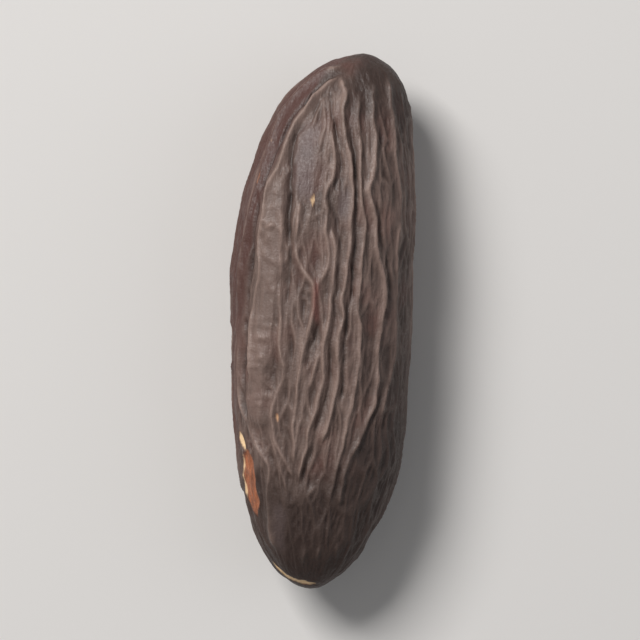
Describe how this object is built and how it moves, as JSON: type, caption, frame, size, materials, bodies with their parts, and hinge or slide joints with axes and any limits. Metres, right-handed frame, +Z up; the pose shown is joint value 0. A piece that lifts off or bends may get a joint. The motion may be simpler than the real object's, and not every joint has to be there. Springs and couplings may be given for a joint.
{
  "type": "tonka bean",
  "caption": "Whole dried tonka bean: a long flattened seed, blunt at the head and slimmer at the tail, with a wrinkled coat of raised lengthwise ridges and a small flat resting spot",
  "frame": {"origin": "on the surface the bean rests on, under the middle of its bounding box", "axes": "+Y along the bean towards its blunt head, +X to the right as seen from above, +Z up, out of the broad upper face"},
  "size_m": [0.0126, 0.036, 0.0094],
  "materials": {
    "seed_coat": "satin, dark brown with paler worn crests"
  },
  "bodies": {
    "root": {"tonka_bean": "seed_coat"}
  },
  "joints": []
}
